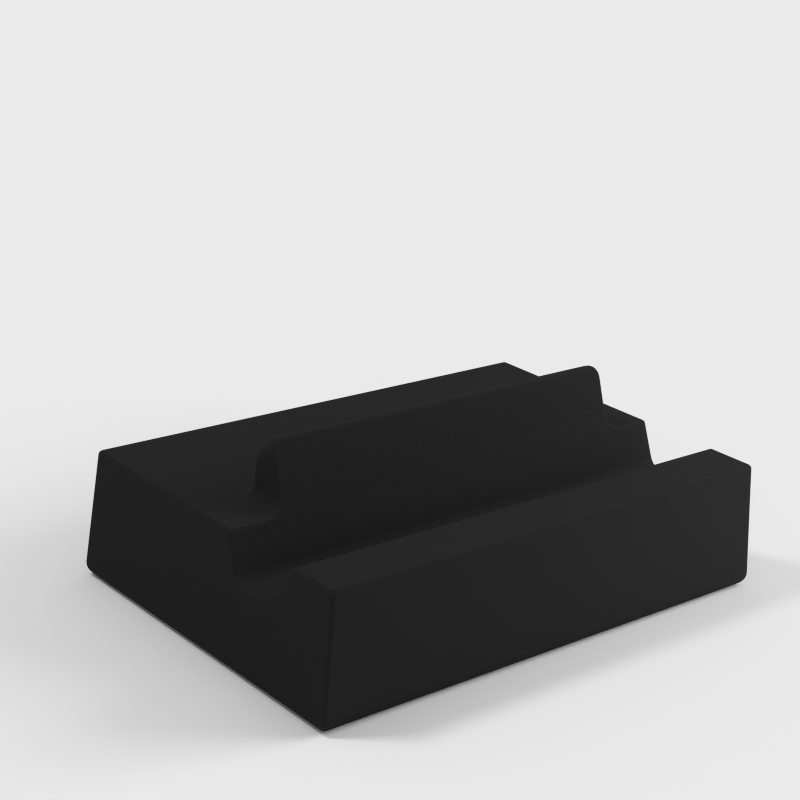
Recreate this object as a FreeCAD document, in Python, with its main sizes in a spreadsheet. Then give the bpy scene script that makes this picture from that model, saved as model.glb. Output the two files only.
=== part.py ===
import FreeCAD, Part
import math
import os
import Sketcher

# Charging dock for a handheld game console, printed as one piece.
# X runs along the slot, Y from the front to the rear and Z up.
# The origin is at the middle of the footprint, on the surface that the dock stands on.

SIZES = {
    # block: its footprint, its height and the draft of its four walls
    "width": 140,
    "depth": 96,
    "block_height": 33.2,
    "draft": 3.7,
    "corner_radius": 1.2,
    "top_edge_radius": 1.0,
    "bottom_edge_radius": 3.4,
    # console slot: the lip in front of it, its mouth, its floor and the backrest
    "lip_thickness": 13.9,
    "slot_mouth": 22.9,
    "slot_depth": 12.0,
    "slot_front_radius": 16.0,
    "slot_foot_radius": 4.0,
    "backrest_lean": 19.2,
    # tab that carries the backrest above the block
    "tab_width": 106.8,
    "tab_height": 16.8,
    "tab_depth": 12.9,
    "tab_crown_radius": 9.0,
    "tab_end_radius": 3.6,
    "tab_base_radius": 4.4,
    # way of the charging lead: the tip's opening, the plug's well and the channel to the rear
    "console_thickness": 13.9,
    "console_clearance": 0.4,
    "tip_width": 9.4,
    "tip_thickness": 3.6,
    "tip_shelf": 2.4,
    "plug_width": 12.8,
    "plug_thickness": 7.0,
    "plug_grip": 6.0,
    "channel_width": 6.4,
    "channel_height": 6.4,
}

# Most that a large round may take of the straight length it lies on.
CROWN_SHARE = 0.9
FRONT_SHARE = 0.85
FOOT_SHARE = 0.9

# Places and rounds that several features share, as expressions of the sizes.
LEAN = "(sizes.backrest_lean * 1 deg)"
LIP_REAR = "(-sizes.depth / 2 + sizes.block_height * tan(sizes.draft * 1 deg) + sizes.lip_thickness)"
BACKREST_TOP = f"({LIP_REAR} + sizes.slot_mouth)"
BACKREST_FOOT = f"({BACKREST_TOP} - sizes.slot_depth * tan{LEAN})"
SLOT_FLOOR = "(sizes.block_height - sizes.slot_depth)"
TAB_REAR = f"({BACKREST_TOP} + sizes.tab_depth)"
TAB_TOP = "(sizes.block_height + sizes.tab_height)"
CROWN = f"min(sizes.tab_crown_radius; {CROWN_SHARE} * sizes.tab_depth)"
FRONT_REACH = f"({FRONT_SHARE} * ({BACKREST_FOOT} - {LIP_REAR}))"
FRONT_LIMIT = f"({FRONT_REACH}^2 + sizes.slot_depth^2) / (2 * sizes.slot_depth)"
SLOT_FRONT = f"max(sizes.slot_depth; min(sizes.slot_front_radius; {FRONT_LIMIT}))"
FLOOR_START = f"({LIP_REAR} + sqrt(2 * {SLOT_FRONT} * sizes.slot_depth - sizes.slot_depth^2))"
FOOT_LIMIT = f"{FOOT_SHARE} * ({BACKREST_FOOT} - {FLOOR_START}) / tan(45 deg - {LEAN} / 2)"
SLOT_FOOT = f"min(sizes.slot_foot_radius; {FOOT_LIMIT})"
PLUG_OFFSET = "(sizes.console_thickness / 2 + sizes.console_clearance)"
PLUG_AXIS = f"({BACKREST_FOOT} - {PLUG_OFFSET} / cos{LEAN})"
PLUG_AXIS_UNDERSIDE = f"({PLUG_AXIS} - {SLOT_FLOOR} * tan{LEAN})"

NEAR = 1e-4
START = 1
END = 2
CENTRE = 3
ORIGIN = (-1, START)

doc = FreeCAD.newDocument("charging_dock")
sheet = doc.addObject("Spreadsheet::Sheet", "sizes")
for row, (alias, value) in enumerate(SIZES.items(), start=1):
    sheet.set(f"A{row}", alias)
    sheet.set(f"B{row}", str(value))
    sheet.setAlias(f"B{row}", alias)
doc.recompute()

body = doc.addObject("PartDesign::Body", "dock_body")
body.Label = "dock_body"


def size(expression):
    """Give the value of an expression of the sheet, in millimetres or degrees."""
    found = sheet.evalExpression(expression)
    return float(getattr(found, "Value", found))


def origin_plane(role):
    """Give one of the body's own origin planes."""
    return next(item for item in body.Origin.OriginFeatures if item.Role == role)


def new_sketch(name, role):
    """Make a sketch on one of the body's own origin planes."""
    sketch = body.newObject("Sketcher::SketchObject", name)
    sketch.AttachmentSupport = (origin_plane(role), [""])
    sketch.MapMode = "FlatFace"
    return sketch


def relate(sketch, kind, *where):
    """Add a constraint that has no size."""
    sketch.addConstraint(Sketcher.Constraint(kind, *where))


def drive(sketch, name, expression, kind, *where):
    """Add a dimension to a sketch and bind it to the sheet."""
    value = size(expression)
    if kind == "Angle":
        value = math.radians(value)
    index = sketch.addConstraint(Sketcher.Constraint(kind, *where, value))
    sketch.renameConstraint(index, name)
    sketch.setExpression(f"Constraints.{name}", expression)


def polygon(sketch, corners):
    """Draw a closed outline of straight lines, where line i starts at corner i."""
    points = [FreeCAD.Vector(x, y, 0) for x, y in corners]
    for start, end in zip(points, points[1:] + points[:1]):
        sketch.addGeometry(Part.LineSegment(start, end))
    for line in range(len(points)):
        relate(sketch, "Coincident", line, END, (line + 1) % len(points), START)


def rectangle(sketch, left, right, low, high):
    """Draw a rectangle, with its lower side as line 0 and its right side as line 1."""
    polygon(sketch, [(left, low), (right, low), (right, high), (left, high)])
    for line in (0, 2):
        relate(sketch, "Horizontal", line)
    for line in (1, 3):
        relate(sketch, "Vertical", line)


def stadium(sketch, width, thickness):
    """Draw a slot with round ends about the sketch's origin, with its sizes bound to the sheet."""
    radius = size(thickness) / 2
    reach = size(width) / 2 - radius
    arcs = []
    for side in (1, -1):
        circle = Part.Circle(FreeCAD.Vector(side * reach, 0, 0), FreeCAD.Vector(0, 0, 1), radius)
        first = -side * math.pi / 2
        arcs.append(Part.ArcOfCircle(circle, first, first + math.pi))
    right, left = arcs
    upper = Part.LineSegment(right.EndPoint, left.StartPoint)
    lower = Part.LineSegment(left.EndPoint, right.StartPoint)
    sketch.addGeometry([right, upper, left, lower])
    for piece in range(4):
        relate(sketch, "Tangent", piece, END, (piece + 1) % 4, START)
    relate(sketch, "Equal", 0, 2)
    relate(sketch, "Horizontal", 1)
    relate(sketch, "Symmetric", 0, CENTRE, 2, CENTRE, *ORIGIN)
    drive(sketch, "radius", f"{thickness} / 2", "Radius", 0)
    drive(sketch, "reach", f"{width} - {thickness}", "DistanceX", 2, CENTRE, 0, CENTRE)


def across(feature, width):
    """Make a pad or pocket run the same way to both sides of its sketch, by a width in all."""
    feature.SideType = "Symmetric"
    feature.setExpression("Length", width)


def new_feature(kind, name, sketch):
    """Make a pad or pocket of a sketch."""
    feature = body.newObject(f"PartDesign::{kind}", name)
    feature.Profile = sketch
    sketch.Visibility = False
    return feature


def round_edges(name, radius, wanted):
    """Round the edges of the body that a test picks."""
    doc.recompute()
    base = body.Tip
    picked = []
    for number, edge in enumerate(base.Shape.Edges, start=1):
        points = [] if edge.Degenerated else edge.discretize(5)
        if points and all(wanted(point) for point in points):
            picked.append(f"Edge{number}")
    fillet = body.newObject("PartDesign::Fillet", name)
    fillet.Base = (base, picked)
    fillet.setExpression("Radius", radius)
    doc.recompute()


def build_block():
    """The block: a rectangle raised with draft, with small rounds on its corners and a large one below."""
    half_width = size("sizes.width") / 2
    half_depth = size("sizes.depth") / 2
    sketch = new_sketch("footprint", "XY_Plane")
    rectangle(sketch, -half_width, half_width, -half_depth, half_depth)
    relate(sketch, "Symmetric", 0, START, 2, START, *ORIGIN)
    drive(sketch, "width", "sizes.width", "DistanceX", 0, START, 0, END)
    drive(sketch, "depth", "sizes.depth", "DistanceY", 1, START, 1, END)
    block = new_feature("Pad", "block", sketch)
    block.setExpression("Length", "sizes.block_height")
    doc.recompute()
    walls = []
    for number, face in enumerate(block.Shape.Faces, start=1):
        if abs(face.normalAt(0, 0).z) < NEAR:
            walls.append(f"Face{number}")
    drafted = body.newObject("PartDesign::Draft", "block_draft")
    drafted.Base = (block, walls)
    drafted.NeutralPlane = (origin_plane("XY_Plane"), [""])
    drafted.setExpression("Angle", "sizes.draft")
    slope = math.tan(math.radians(size("sizes.draft")))

    def on_corner(point):
        at_side = abs(abs(point.x) - half_width + point.z * slope) < NEAR
        at_end = abs(abs(point.y) - half_depth + point.z * slope) < NEAR
        return at_side and at_end

    round_edges("bottom_edge", "sizes.bottom_edge_radius", lambda point: abs(point.z) < NEAR)
    round_edges("corners", "sizes.corner_radius", on_corner)


def build_tab():
    """The tab before the backrest is cut: an upright bar with a round crown and round ends."""
    front = size(BACKREST_TOP)
    rear = size(TAB_REAR)
    low = size(SLOT_FLOOR)
    high = size(TAB_TOP)
    sketch = new_sketch("tab_section", "YZ_Plane")
    rectangle(sketch, front, rear, low, high)
    drive(sketch, "front", BACKREST_TOP, "DistanceX", *ORIGIN, 0, START)
    drive(sketch, "rear", TAB_REAR, "DistanceX", *ORIGIN, 1, START)
    drive(sketch, "low", SLOT_FLOOR, "DistanceY", *ORIGIN, 0, START)
    drive(sketch, "high", TAB_TOP, "DistanceY", *ORIGIN, 2, START)
    tab = new_feature("Pad", "tab", sketch)
    across(tab, "sizes.tab_width")

    def on_crown(point):
        return abs(point.y - rear) < NEAR and abs(point.z - high) < NEAR

    def on_end_outline(point):
        at_end = abs(abs(point.x) - size("sizes.tab_width") / 2) < NEAR
        on_top = abs(point.z - high) < NEAR
        return at_end and (on_top or point.y > rear - size(CROWN) - NEAR)

    round_edges("tab_crown", CROWN, on_crown)
    round_edges("tab_ends", "sizes.tab_end_radius", on_end_outline)


def cut_slot():
    """The console slot from end to end, whose sloped rear wall also makes the front of the tab."""
    front = size(LIP_REAR)
    foot = size(BACKREST_FOOT)
    floor = size(SLOT_FLOOR)
    radius = size(SLOT_FRONT)
    high = size(TAB_TOP) + size("sizes.slot_depth")
    sketch = new_sketch("slot_section", "YZ_Plane")
    centre = FreeCAD.Vector(size(FLOOR_START), floor + radius, 0)
    circle = Part.Circle(centre, FreeCAD.Vector(0, 0, 1), radius)
    first = math.atan2(size("sizes.block_height") - centre.y, front - centre.x)
    arc = Part.ArcOfCircle(circle, first % (2 * math.pi), 1.5 * math.pi)
    foot_point = FreeCAD.Vector(foot, floor, 0)
    rise = (high - floor) * math.tan(math.radians(size("sizes.backrest_lean")))
    rest_point = FreeCAD.Vector(foot + rise, high, 0)
    front_point = FreeCAD.Vector(front, high, 0)
    sketch.addGeometry(arc)
    sketch.addGeometry(Part.LineSegment(arc.EndPoint, foot_point))
    sketch.addGeometry(Part.LineSegment(foot_point, rest_point))
    sketch.addGeometry(Part.LineSegment(rest_point, front_point))
    sketch.addGeometry(Part.LineSegment(front_point, arc.StartPoint))
    relate(sketch, "Tangent", 0, END, 1, START)
    for piece in range(1, 5):
        relate(sketch, "Coincident", piece, END, (piece + 1) % 5, START)
    relate(sketch, "Horizontal", 1)
    relate(sketch, "Horizontal", 3)
    relate(sketch, "Vertical", 4)
    drive(sketch, "front_round", SLOT_FRONT, "Radius", 0)
    drive(sketch, "lip_rear", LIP_REAR, "DistanceX", *ORIGIN, 0, START)
    drive(sketch, "lip_top", "sizes.block_height", "DistanceY", *ORIGIN, 0, START)
    drive(sketch, "floor", SLOT_FLOOR, "DistanceY", *ORIGIN, 1, END)
    drive(sketch, "foot", BACKREST_FOOT, "DistanceX", *ORIGIN, 1, END)
    drive(sketch, "lean", f"90 deg - {LEAN}", "Angle", 2)
    drive(sketch, "high", f"{TAB_TOP} + sizes.slot_depth", "DistanceY", *ORIGIN, 3, END)
    slot = new_feature("Pocket", "slot", sketch)
    slot.Type = "ThroughAll"
    slot.SideType = "Symmetric"

    def on_foot(point):
        return abs(point.y - foot) < NEAR and abs(point.z - floor) < NEAR

    round_edges("slot_foot_round", SLOT_FOOT, on_foot)


def blend_tab():
    """The hollow round where the tab stands on the block, at its ends and its rear."""
    top = size("sizes.block_height")
    front = size(BACKREST_TOP)
    rear = size(TAB_REAR)
    half_width = size("sizes.tab_width") / 2

    def on_base(point):
        under_tab = abs(point.x) < half_width + NEAR and front - NEAR < point.y < rear + NEAR
        return under_tab and abs(point.z - top) < NEAR

    round_edges("tab_base", "sizes.tab_base_radius", on_base)


def soften_top():
    """The small round on the block's upper edges, the slot's two ends and the backrest's upper outline."""
    top = size("sizes.block_height")
    floor = size(SLOT_FLOOR)
    lip_rear = size(LIP_REAR)
    front = size(BACKREST_TOP)
    half_width = size("sizes.width") / 2
    wall_slope = math.tan(math.radians(size("sizes.draft")))
    rest_slope = math.tan(math.radians(size("sizes.backrest_lean")))
    base = size("sizes.tab_base_radius")
    reach_x = size("sizes.tab_width") / 2 + base
    reach_y = size(TAB_REAR) + base

    def on_upper_edge(point):
        on_backrest = abs(point.y - front - (point.z - top) * rest_slope) < NEAR and point.z > top - NEAR
        at_tab_base = abs(point.x) < reach_x + NEAR and front + NEAR < point.y < reach_y + NEAR
        on_rim = abs(point.z - top) < NEAR and not at_tab_base
        on_side_wall = abs(abs(point.x) - half_width + point.z * wall_slope) < NEAR
        in_slot = lip_rear - NEAR < point.y < front + NEAR and point.z > floor - NEAR
        return on_backrest or on_rim or on_side_wall and in_slot

    round_edges("top_edges", "sizes.top_edge_radius", on_upper_edge)


def cut_tip_opening():
    """The opening in the slot's floor for the plug's tip, square to the leaning console."""
    sketch = new_sketch("tip_outline", "XY_Plane")
    place = FreeCAD.Vector(0, size(PLUG_AXIS), size(SLOT_FLOOR))
    turn = FreeCAD.Rotation(FreeCAD.Vector(1, 0, 0), -size("sizes.backrest_lean"))
    sketch.AttachmentOffset = FreeCAD.Placement(place, turn)
    sketch.setExpression("AttachmentOffset.Base.y", PLUG_AXIS)
    sketch.setExpression("AttachmentOffset.Base.z", SLOT_FLOOR)
    sketch.setExpression("AttachmentOffset.Rotation.Angle", f"-{LEAN}")
    stadium(sketch, "sizes.tip_width", "sizes.tip_thickness")
    opening = new_feature("Pocket", "tip_opening", sketch)
    across(opening, "2 * (sizes.tip_shelf + sizes.tip_thickness)")


def cut_plug_well():
    """The well under the tip's opening, which grips the plug and leaves its lead room to bend rearwards."""
    lean = math.radians(size("sizes.backrest_lean"))
    along = FreeCAD.Vector(math.sin(lean), math.cos(lean), 0)
    outward = FreeCAD.Vector(-math.cos(lean), math.sin(lean), 0)
    shelf = FreeCAD.Vector(size(PLUG_AXIS), size(SLOT_FLOOR), 0) - along * size("sizes.tip_shelf")
    front_top = shelf + outward * (size("sizes.plug_thickness") / 2)
    rear_top = shelf - outward * (size("sizes.plug_thickness") / 2)
    grip_end = rear_top - along * size("sizes.plug_grip")
    front_foot = front_top - along * (front_top.y / along.y)
    sketch = new_sketch("well_section", "YZ_Plane")
    corners = [(point.x, point.y) for point in (front_top, rear_top, grip_end)]
    polygon(sketch, corners + [(grip_end.x, 0), (front_foot.x, 0)])
    relate(sketch, "Perpendicular", 0, 4)
    relate(sketch, "Parallel", 1, 4)
    relate(sketch, "Vertical", 2)
    relate(sketch, "Horizontal", 3)
    relate(sketch, "PointOnObject", 3, START, -1)
    shelf_y = f"{PLUG_AXIS} - sizes.tip_shelf * sin{LEAN} - sizes.plug_thickness / 2 * cos{LEAN}"
    shelf_z = f"{SLOT_FLOOR} - sizes.tip_shelf * cos{LEAN} + sizes.plug_thickness / 2 * sin{LEAN}"
    drive(sketch, "shelf_y", shelf_y, "DistanceX", *ORIGIN, 0, START)
    drive(sketch, "shelf_z", shelf_z, "DistanceY", *ORIGIN, 0, START)
    drive(sketch, "lean", f"90 deg - {LEAN}", "Angle", 4)
    drive(sketch, "thickness", "sizes.plug_thickness", "Distance", 0)
    drive(sketch, "grip", "sizes.plug_grip", "Distance", 1)
    well = new_feature("Pocket", "plug_well", sketch)
    across(well, "sizes.plug_width")


def cut_cable_channel():
    """The arched channel in the underside, from the well to the rear wall."""
    radius = size("sizes.channel_width") / 2
    spring = size("sizes.channel_height") - radius
    sketch = new_sketch("channel_section", "XZ_Plane")
    circle = Part.Circle(FreeCAD.Vector(0, spring, 0), FreeCAD.Vector(0, 0, 1), radius)
    arch = Part.ArcOfCircle(circle, 0, math.pi)
    left_foot = FreeCAD.Vector(-radius, 0, 0)
    right_foot = FreeCAD.Vector(radius, 0, 0)
    left = Part.LineSegment(arch.EndPoint, left_foot)
    right = Part.LineSegment(right_foot, arch.StartPoint)
    sketch.addGeometry([arch, left, Part.LineSegment(left_foot, right_foot), right])
    relate(sketch, "Tangent", 0, END, 1, START)
    relate(sketch, "Tangent", 3, END, 0, START)
    relate(sketch, "Coincident", 1, END, 2, START)
    relate(sketch, "Coincident", 2, END, 3, START)
    relate(sketch, "Horizontal", 2)
    relate(sketch, "Vertical", 1)
    relate(sketch, "Vertical", 3)
    relate(sketch, "PointOnObject", 2, START, -1)
    relate(sketch, "PointOnObject", 0, CENTRE, -2)
    drive(sketch, "radius", "sizes.channel_width / 2", "Radius", 0)
    drive(sketch, "spring", "sizes.channel_height - sizes.channel_width / 2", "DistanceY", *ORIGIN, 0, CENTRE)
    channel = new_feature("Pocket", "cable_channel", sketch)
    channel.SideType = "Two sides"
    channel.Type = "ThroughAll"
    channel.Type2 = "Length"
    channel.setExpression("Length2", f"-{PLUG_AXIS_UNDERSIDE}")


def cut(step):
    """Run a step that cuts, and make sure that it took something away."""
    before = body.Shape.Volume
    step()
    doc.recompute()
    if body.Shape.Volume > before - NEAR:
        raise RuntimeError(f"{step.__name__} took nothing away")


build_block()
build_tab()
cut(cut_slot)
blend_tab()
soften_top()
cut(cut_tip_opening)
cut(cut_plug_well)
cut(cut_cable_channel)

for item in doc.Objects:
    if "Invalid" in item.State or "Error" in item.State:
        raise RuntimeError(f"{item.Label} failed")
if body.Shape.isNull() or not body.Shape.isValid() or len(body.Shape.Solids) != 1:
    raise RuntimeError(f"{body.Label} is not one valid solid")

os.makedirs("parts", exist_ok=True)
body.Shape.exportStep(f"parts/{body.Label}.step")
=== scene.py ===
import math

import bmesh
import bpy
from mathutils import Matrix, Vector


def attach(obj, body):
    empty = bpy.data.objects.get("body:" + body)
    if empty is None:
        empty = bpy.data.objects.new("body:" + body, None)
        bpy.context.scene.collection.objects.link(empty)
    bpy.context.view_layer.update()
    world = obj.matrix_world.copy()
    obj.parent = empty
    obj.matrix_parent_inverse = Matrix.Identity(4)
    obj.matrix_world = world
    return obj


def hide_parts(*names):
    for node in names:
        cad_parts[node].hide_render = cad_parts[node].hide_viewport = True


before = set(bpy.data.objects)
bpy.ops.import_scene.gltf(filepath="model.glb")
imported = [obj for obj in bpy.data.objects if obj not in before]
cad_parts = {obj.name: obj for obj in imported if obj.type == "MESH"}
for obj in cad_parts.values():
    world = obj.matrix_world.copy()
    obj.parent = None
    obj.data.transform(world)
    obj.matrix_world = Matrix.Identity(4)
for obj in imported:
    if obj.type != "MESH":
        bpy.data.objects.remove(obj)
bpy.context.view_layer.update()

# Looks of a charging dock that was printed in one piece from matte black plastic.
# Lengths are in metres, in the frame of the solid: X along the slot, Y to the rear, Z up.

# Printed layers: their height, and how each one gathers into a ledge at its seam.
LAYER = 0.0004
LEDGE_REACH = 0.25      # share of a layer on each side of a seam that lies in the ledge
LEDGE_RISE = 0.15       # share of a layer on each side of a seam that the ledge still rises
PAINTED_LAYER_CONTRAST = 1.3      # how strongly the painted highlight lightens the rims and the painted shade darkens the corners between the layers
LEAN_FADE = 3           # how fast the painted highlight on rims and the painted shade in corners fade as a surface gets nearer to level
WELD = 1e-7             # distance below which two points or heights count as one
SHARP_ANGLE = math.radians(32)  # bend past which any edge is a sharp corner
STEP_ANGLE = math.radians(4)    # bend past which a level edge is the rim of a layer
LEVEL_COSINE = 0.99999  # least upward or downward share of the normal of a face that lies level

# Plastic: the darkest and lightest colour that its grain and the painted light on the layers reach, and the
# grain's fineness and share of the range between them.
DARKEST = (0.0055, 0.0055, 0.0056, 1)
LIGHTEST = (0.0327, 0.0327, 0.0334, 1)
GRAIN_SCALE = 1400
GRAIN_DETAIL = 3
GRAIN_TINT = (0.4, 0.6)
ROUGHNESS = (0.78, 0.92)
GLOSS_LEVEL = 0.02

# Camera at the photograph's viewing angle, which is turned a little about its own axis.
IMAGE_SIZE = 800        # pixels
SENSOR = 36             # millimetres, the unit of lenses and sensors in Blender
FOCAL_PIXELS = 1872.6
CLIP_START = 0.01
AZIMUTH = math.radians(-41.739)
ELEVATION = math.radians(19.895)
ROLL = math.radians(4.179)
DISTANCE = 0.47414
AIM_RIGHT = -0.00906
AIM_UP = 0.04492

# Studio: floor, lights and the pale surroundings. Azimuths count from the X axis, in degrees.
FLOOR_REACH = 12.0
FLOOR_COLOUR = (0.92, 0.92, 0.92, 1)
BACKDROP = 0.83
AMBIENT = 0.295
SOFTBOXES = {
    "key": {"azimuth": -36.6, "elevation": 30.3, "distance": 0.295, "radius": 0.108, "share": 0.355},
    "rear": {"azimuth": 153, "elevation": 57.6, "distance": 0.510, "radius": 0.046, "share": 0.245},
    "top": {"azimuth": 0, "elevation": 89, "distance": 0.800, "radius": 0.250, "share": 0.085},
    "fill": {"azimuth": -140, "elevation": 17, "distance": 0.800, "radius": 0.250, "share": 0.020},
}


def seam_offset(height):
    """Height above the nearest seam between layers, as a share of a layer."""
    return height / LAYER - math.floor(height / LAYER + 0.5)


def layered_height(height):
    """Height of a surface point once the layers step it: near level at a seam, steep between seams."""
    offset = seam_offset(height)
    if abs(offset) <= LEDGE_REACH:
        moved = abs(offset) * LEDGE_RISE / LEDGE_REACH
    else:
        steepness = (0.5 - LEDGE_RISE) / (0.5 - LEDGE_REACH)
        moved = LEDGE_RISE + (abs(offset) - LEDGE_REACH) * steepness
    return height + (math.copysign(moved, offset) - offset) * LAYER


def painted_layer_light(vert):
    """How much painted light a point of the layers gets: above 0 a painted highlight on a ledge's rim, below
    0 painted shade in its corner.
    """
    offset = seam_offset(vert.co.z)
    share = min(abs(offset) / LEDGE_REACH, (0.5 - abs(offset)) / (0.5 - LEDGE_REACH))
    lean = abs(vert.normal.z) * math.hypot(vert.normal.x, vert.normal.y) ** LEAN_FADE
    return -math.copysign(share * lean, offset * vert.normal.z)


def cut_between(shape, faces, heights):
    """Add level cuts to some faces of a mesh, the middle cut first and then those on each side of it."""
    if not heights:
        return
    middle = len(heights) // 2
    edges = {edge for face in faces for edge in face.edges}
    verts = {vert for face in faces for vert in face.verts}
    level = Vector((0, 0, heights[middle]))
    cut = bmesh.ops.bisect_plane(
        shape, geom=[*verts, *edges, *faces], dist=WELD, plane_co=level, plane_no=(0, 0, 1)
    )
    pieces = [item for item in cut["geom"] if isinstance(item, bmesh.types.BMFace)]
    lower = [face for face in pieces if face.calc_center_median().z < level.z]
    upper = [face for face in pieces if face.calc_center_median().z >= level.z]
    cut_between(shape, lower, heights[:middle])
    cut_between(shape, upper, heights[middle + 1:])


def is_step(edge):
    """Tell whether an edge is the rim of a layer or of a level face, or another sharp corner."""
    if len({abs(face.normal.z) > LEVEL_COSINE for face in edge.link_faces}) > 1:
        return True
    first, second = edge.verts
    level = abs(first.co.z - second.co.z) < WELD
    return edge.calc_face_angle() > (STEP_ANGLE if level else SHARP_ANGLE)


def printed_copy(node, name):
    """Copy a solid's mesh and step it into printed layers."""
    shape = bmesh.new()
    shape.from_mesh(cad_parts[node].data)
    bmesh.ops.remove_doubles(shape, verts=shape.verts, dist=WELD)
    top = max(vert.co.z for vert in shape.verts)
    seams = range(math.ceil(top / LAYER) + 1)
    heights = [(seam + reach) * LAYER for seam in seams for reach in (-LEDGE_REACH, LEDGE_REACH)]
    cut_between(shape, shape.faces[:], [height for height in heights if 0 < height < top])
    shape.normal_update()
    # Painted highlight on the layers' rims and painted shade in the corners between them, kept on each point
    # for the colour.
    rim = shape.verts.layers.float.new("rim")
    for vert in shape.verts:
        vert[rim] = painted_layer_light(vert)
        vert.co.z = layered_height(vert.co.z)
    shape.normal_update()
    for face in shape.faces:
        face.smooth = True
    for edge in shape.edges:
        edge.smooth = not is_step(edge)
    mesh = bpy.data.meshes.new(name)
    shape.to_mesh(mesh)
    shape.free()
    piece = bpy.data.objects.new(name, mesh)
    bpy.context.scene.collection.objects.link(piece)
    return piece


def new_material(name):
    """Make a node material and give it together with its shader."""
    material = bpy.data.materials.new(name)
    material.use_nodes = True
    return material, material.node_tree.nodes["Principled BSDF"]


def printed_plastic():
    """Matte black plastic with a fine grain; the layers get a painted highlight on their rims and painted
    shade in the corners between them.
    """
    material, shader = new_material("printed_plastic")
    nodes = material.node_tree.nodes
    links = material.node_tree.links
    shader.inputs["Specular IOR Level"].default_value = GLOSS_LEVEL
    place = nodes.new("ShaderNodeTexCoord")
    grain = nodes.new("ShaderNodeTexNoise")
    grain.inputs["Scale"].default_value = GRAIN_SCALE
    grain.inputs["Detail"].default_value = GRAIN_DETAIL
    links.new(place.outputs["Object"], grain.inputs["Vector"])
    fine = nodes.new("ShaderNodeMapRange")
    fine.inputs["To Min"].default_value, fine.inputs["To Max"].default_value = GRAIN_TINT
    links.new(grain.outputs["Fac"], fine.inputs["Value"])
    # Painted light: the rim attribute adds a painted highlight on the layers' rims and painted shade in
    # their corners to the grain.
    rim = nodes.new("ShaderNodeAttribute")
    rim.attribute_name = "rim"
    grain_and_painted_light = nodes.new("ShaderNodeMath")
    grain_and_painted_light.operation = "MULTIPLY_ADD"
    grain_and_painted_light.inputs[1].default_value = PAINTED_LAYER_CONTRAST
    links.new(rim.outputs["Fac"], grain_and_painted_light.inputs[0])
    links.new(fine.outputs["Result"], grain_and_painted_light.inputs[2])
    colour = nodes.new("ShaderNodeValToRGB")
    colour.color_ramp.elements[0].color = DARKEST
    colour.color_ramp.elements[1].color = LIGHTEST
    links.new(grain_and_painted_light.outputs["Value"], colour.inputs["Fac"])
    links.new(colour.outputs["Color"], shader.inputs["Base Color"])
    rough = nodes.new("ShaderNodeMapRange")
    rough.inputs["To Min"].default_value, rough.inputs["To Max"].default_value = ROUGHNESS
    links.new(grain.outputs["Fac"], rough.inputs["Value"])
    links.new(rough.outputs["Result"], shader.inputs["Roughness"])
    return material


def studio_floor():
    """A wide pale floor that takes the dock's shadow."""
    mesh = bpy.data.meshes.new("floor")
    corners = [(x * FLOOR_REACH, y * FLOOR_REACH, 0) for x, y in ((-1, -1), (1, -1), (1, 1), (-1, 1))]
    mesh.from_pydata(corners, [], [(0, 1, 2, 3)])
    floor = bpy.data.objects.new("floor", mesh)
    bpy.context.scene.collection.objects.link(floor)
    material, shader = new_material("floor_paper")
    shader.inputs["Base Color"].default_value = FLOOR_COLOUR
    shader.inputs["Roughness"].default_value = 1
    shader.inputs["Specular IOR Level"].default_value = 0
    mesh.materials.append(material)
    floor.is_shadow_catcher = True


def studio_world():
    """Soft light from all round, with the plain backdrop for what looks at it."""
    world = bpy.data.worlds.new("studio")
    world.use_nodes = True
    bpy.context.scene.world = world
    nodes = world.node_tree.nodes
    links = world.node_tree.links
    background = nodes["Background"]
    background.inputs["Color"].default_value = (1, 1, 1, 1)
    path = nodes.new("ShaderNodeLightPath")
    looking = path.outputs["Is Camera Ray"]
    for ray in ("Is Glossy Ray", "Is Transmission Ray"):
        either = nodes.new("ShaderNodeMath")
        either.operation = "MAXIMUM"
        links.new(looking, either.inputs[0])
        links.new(path.outputs[ray], either.inputs[1])
        looking = either.outputs[0]
    level = nodes.new("ShaderNodeMapRange")
    level.inputs["To Min"].default_value = AMBIENT
    level.inputs["To Max"].default_value = BACKDROP
    links.new(looking, level.inputs["Value"])
    links.new(level.outputs["Result"], background.inputs["Strength"])


def softbox(name, azimuth, elevation, distance, radius, share):
    """A round softbox that looks at the dock and gives the floor there a share of its full light."""
    turn = math.radians(azimuth)
    rise = math.radians(elevation)
    direction = Vector((math.cos(turn) * math.cos(rise), math.sin(turn) * math.cos(rise), math.sin(rise)))
    lamp = bpy.data.lights.new(name, "AREA")
    lamp.shape = "DISK"
    lamp.size = 2 * radius
    lamp.energy = share * (math.pi * distance) ** 2 / math.sin(rise)
    holder = bpy.data.objects.new(name, lamp)
    bpy.context.scene.collection.objects.link(holder)
    holder.location = direction * distance
    holder.rotation_euler = direction.to_track_quat("Z", "Y").to_euler()


def photograph_camera():
    """The camera of the photograph."""
    lens = bpy.data.cameras.new("camera")
    lens.sensor_width = SENSOR
    lens.lens = FOCAL_PIXELS / IMAGE_SIZE * SENSOR
    lens.clip_start = CLIP_START
    camera = bpy.data.objects.new("camera", lens)
    bpy.context.scene.collection.objects.link(camera)
    back = Vector((
        math.sin(AZIMUTH) * math.cos(ELEVATION),
        -math.cos(AZIMUTH) * math.cos(ELEVATION),
        math.sin(ELEVATION),
    ))
    right = (-back).cross(Vector((0, 0, 1))).normalized()
    up = back.cross(right)
    place = back * DISTANCE + right * AIM_RIGHT + up * AIM_UP
    axes = Matrix((right, up, back)).transposed()
    camera.matrix_world = Matrix.Translation(place) @ (axes @ Matrix.Rotation(ROLL, 3, "Z")).to_4x4()
    bpy.context.scene.camera = camera


dock = printed_copy("dock_body", "printed_dock")
dock.data.materials.append(printed_plastic())
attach(dock, "root")
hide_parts("dock_body")

studio_floor()
studio_world()
for lamp_name, placing in SOFTBOXES.items():
    softbox(lamp_name, **placing)
photograph_camera()
bpy.context.scene.view_settings.view_transform = "Standard"
